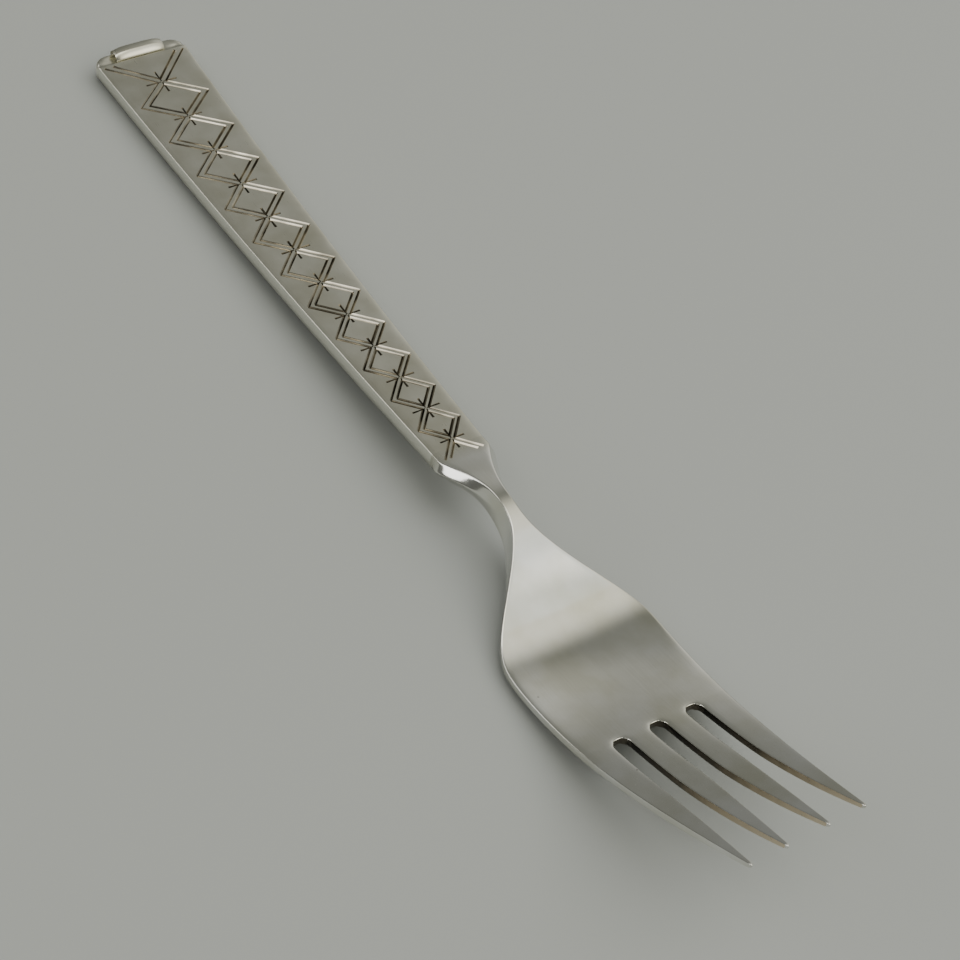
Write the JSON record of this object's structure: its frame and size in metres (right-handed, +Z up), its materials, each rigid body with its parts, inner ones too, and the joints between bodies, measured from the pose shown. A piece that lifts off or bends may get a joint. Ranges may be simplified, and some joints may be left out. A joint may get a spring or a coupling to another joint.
{
  "type": "dinner fork",
  "caption": "Dinner fork with tapering tines, a shallow bowl, a slim neck and a flat tapering hollow handle, engraved with a chain of lozenges and closed by a rolled butt.",
  "frame": {"origin": "bottom centre of the bounding box: on the surface that the fork lies on, midway between butt and tips", "axes": "+X along the fork from the butt to the tips, +Y across it, +Z up, out of the bowl"},
  "size_m": [0.194, 0.0246, 0.02],
  "materials": {
    "polished_silver": "polished",
    "satin_silver": "satin",
    "handle_cement": "matte"
  },
  "bodies": {
    "root": {"fork_head": "polished_silver", "handle_face": "satin_silver", "handle_back": "satin_silver", "butt_cap": "satin_silver", "tang_filler": "handle_cement"}
  },
  "joints": []
}
